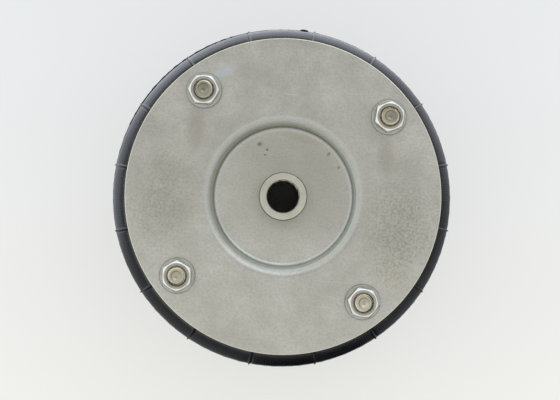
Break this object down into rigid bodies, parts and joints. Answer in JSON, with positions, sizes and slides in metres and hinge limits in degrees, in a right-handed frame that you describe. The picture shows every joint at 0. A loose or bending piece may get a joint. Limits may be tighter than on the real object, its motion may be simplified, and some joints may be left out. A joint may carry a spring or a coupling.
{
  "type": "air bellows actuator",
  "caption": "Round air bellows actuator: a convoluted rubber bellows with a girdle hoop, clamped by loose flange rings between dished steel plates, with a threaded air port in the top plate.",
  "frame": {"origin": "on the stroke axis, level with the tips of the base bolts that the part stands on", "axes": "+Z along the stroke, towards the plate with the air port; the top bolts lie at 45 degrees to X and Y and the base bolts on X and Y"},
  "size_m": [0.202, 0.202, 0.1782],
  "materials": {
    "zinc_plate": "dull zinc plating on pressed sheet",
    "zinc_ring": "dull zinc plating on a turned ring",
    "wire": "drawn wire",
    "bolt_steel": "bright zinc plating with a warm tint",
    "washer_steel": "zinc plated stamping",
    "nut_steel": "bright zinc plating",
    "hoop_steel": "zinc plated rod",
    "port_steel": "zinc plated turned face",
    "black_rubber": "matt moulded rubber"
  },
  "bodies": {
    "base": {"base_plate": "zinc_plate", "base_flange_ring": "zinc_ring", "base_bead_wire": "wire", "base_bolts": "bolt_steel", "base_washers": "washer_steel", "base_nuts": "nut_steel"},
    "girdle": {"girdle_hoop": "hoop_steel", "bellows": "black_rubber"},
    "top": {"top_plate": "zinc_plate", "air_port": "port_steel", "top_flange_ring": "zinc_ring", "top_bead_wire": "wire", "top_bolts": "bolt_steel", "top_washers": "washer_steel", "top_nuts": "nut_steel"}
  },
  "joints": [
    {"name": "lower_stroke", "type": "slide", "parent": "base", "child": "girdle", "axis": [0, 0, 1], "range_m": [-0.022, 0.028], "stiffness_N_per_m": 12000, "springref_m": 0.0021, "deforming": ["bellows"]},
    {"name": "upper_stroke", "type": "slide", "parent": "girdle", "child": "top", "axis": [0, 0, 1], "range_m": [-0.022, 0.028], "stiffness_N_per_m": 12000, "springref_m": 0.0021, "deforming": ["bellows"]}
  ],
  "couplings": [
    {"joint": "upper_stroke", "follows": "lower_stroke", "ratio": 1}
  ]
}
